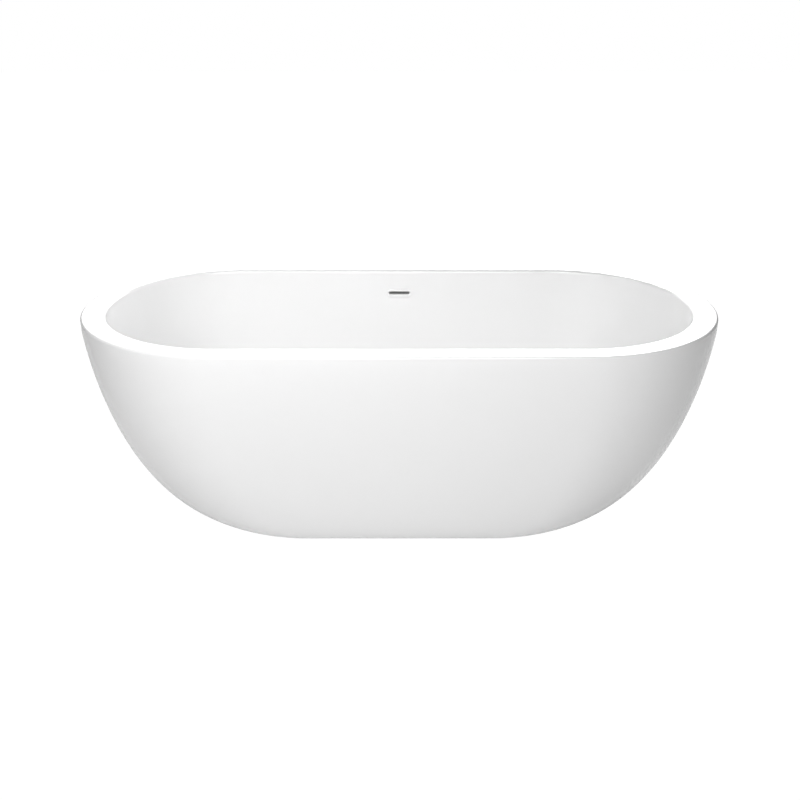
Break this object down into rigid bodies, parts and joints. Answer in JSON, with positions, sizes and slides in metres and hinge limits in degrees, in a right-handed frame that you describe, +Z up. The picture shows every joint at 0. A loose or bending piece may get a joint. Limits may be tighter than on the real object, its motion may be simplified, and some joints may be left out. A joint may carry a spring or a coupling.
{
  "type": "freestanding bathtub",
  "caption": "Double-walled freestanding bathtub with half-round ends, a flat rim, a tapering skirt, a slot overflow and a pop-up waste, on levelling feet under a steel frame.",
  "frame": {"origin": "centre of the bounding box's bottom, on the floor under the waste", "axes": "+Z up; X along the tub's length; +Y towards the long side with the overflow slot, so the front is -Y"},
  "size_m": [1.7, 0.8, 0.58],
  "materials": {
    "acrylic": "gloss white sanitary acrylic",
    "laminate": "raw glass-fibre laminate",
    "plywood": "unsanded plywood",
    "frame_steel": "galvanised square tube",
    "zinc": "bright zinc plate",
    "foot_plastic": "black moulded nylon",
    "rubber": "black rubber",
    "chrome": "polished chrome plate",
    "brass": "turned brass",
    "pipe_plastic": "pale grey moulded polypropylene",
    "hose_plastic": "grey corrugated polypropylene"
  },
  "bodies": {
    "tub": {"basin": "acrylic", "outer_shell": "acrylic", "rim_bond_strip": "laminate", "base_board": "plywood", "frame_rail_front": "frame_steel", "frame_rail_back": "frame_steel", "frame_cross_left": "frame_steel", "frame_cross_centre": "frame_steel", "frame_cross_right": "frame_steel", "frame_screw_1": "zinc", "frame_screw_2": "zinc", "frame_screw_3": "zinc", "frame_screw_4": "zinc", "frame_screw_5": "zinc", "frame_screw_6": "zinc", "frame_screw_7": "zinc", "frame_screw_8": "zinc", "foot_weld_nut_1": "zinc", "foot_weld_nut_2": "zinc", "foot_weld_nut_3": "zinc", "foot_weld_nut_4": "zinc", "foot_weld_nut_5": "zinc", "foot_lock_nut_1": "zinc", "foot_lock_nut_2": "zinc", "foot_lock_nut_3": "zinc", "foot_lock_nut_4": "zinc", "foot_lock_nut_5": "zinc", "waste_flange": "chrome", "waste_gasket_top": "rubber", "waste_gasket_bottom": "rubber", "waste_shoe": "pipe_plastic", "waste_tail_seal": "rubber", "waste_tail_nut": "pipe_plastic", "waste_tailpiece": "chrome", "plug_cartridge": "brass", "plug_spring": "zinc", "overflow_trim": "acrylic", "overflow_gasket": "rubber", "overflow_housing": "pipe_plastic", "overflow_hose": "hose_plastic", "hose_union_top": "pipe_plastic", "hose_union_bottom": "pipe_plastic"},
    "plug": {"plug_cap": "chrome", "plug_seal": "rubber", "plug_stem": "brass"},
    "foot_1": {"foot_pad_1": "foot_plastic"},
    "foot_1_stud": {"foot_stud_1": "zinc"},
    "foot_2": {"foot_pad_2": "foot_plastic"},
    "foot_2_stud": {"foot_stud_2": "zinc"},
    "foot_3": {"foot_pad_3": "foot_plastic"},
    "foot_3_stud": {"foot_stud_3": "zinc"},
    "foot_4": {"foot_pad_4": "foot_plastic"},
    "foot_4_stud": {"foot_stud_4": "zinc"},
    "foot_5": {"foot_pad_5": "foot_plastic"},
    "foot_5_stud": {"foot_stud_5": "zinc"}
  },
  "joints": [
    {"name": "plug_lift", "type": "slide", "parent": "tub", "child": "plug", "axis": [0, 0, 1], "range_m": [0, 0.009], "deforming": ["plug_spring"]},
    {"name": "foot_1_height", "type": "slide", "parent": "tub", "child": "foot_1", "axis": [0, 0, 1], "range_m": [-0.0105, 0.0035]},
    {"name": "foot_1_turn", "type": "hinge", "parent": "foot_1", "child": "foot_1_stud", "pos_m": [-0.32033, -0.15, 0.05], "axis": [0, 0, 1], "range_deg": [-2165, 725]},
    {"name": "foot_2_height", "type": "slide", "parent": "tub", "child": "foot_2", "axis": [0, 0, 1], "range_m": [-0.0105, 0.0035]},
    {"name": "foot_2_turn", "type": "hinge", "parent": "foot_2", "child": "foot_2_stud", "pos_m": [-0.32033, 0.15, 0.05], "axis": [0, 0, 1], "range_deg": [-2165, 725]},
    {"name": "foot_3_height", "type": "slide", "parent": "tub", "child": "foot_3", "axis": [0, 0, 1], "range_m": [-0.0105, 0.0035]},
    {"name": "foot_3_turn", "type": "hinge", "parent": "foot_3", "child": "foot_3_stud", "pos_m": [0.32033, -0.15, 0.05], "axis": [0, 0, 1], "range_deg": [-2165, 725]},
    {"name": "foot_4_height", "type": "slide", "parent": "tub", "child": "foot_4", "axis": [0, 0, 1], "range_m": [-0.0105, 0.0035]},
    {"name": "foot_4_turn", "type": "hinge", "parent": "foot_4", "child": "foot_4_stud", "pos_m": [0.32033, 0.15, 0.05], "axis": [0, 0, 1], "range_deg": [-2165, 725]},
    {"name": "foot_5_height", "type": "slide", "parent": "tub", "child": "foot_5", "axis": [0, 0, 1], "range_m": [-0.0105, 0.0035]},
    {"name": "foot_5_turn", "type": "hinge", "parent": "foot_5", "child": "foot_5_stud", "pos_m": [-0.11, 0, 0.05], "axis": [0, 0, 1], "range_deg": [-2165, 725]}
  ],
  "couplings": [
    {"joint": "foot_1_turn", "follows": "foot_1_height", "rad_per_m": 3590.4},
    {"joint": "foot_2_turn", "follows": "foot_2_height", "rad_per_m": 3590.4},
    {"joint": "foot_3_turn", "follows": "foot_3_height", "rad_per_m": 3590.4},
    {"joint": "foot_4_turn", "follows": "foot_4_height", "rad_per_m": 3590.4},
    {"joint": "foot_5_turn", "follows": "foot_5_height", "rad_per_m": 3590.4}
  ]
}
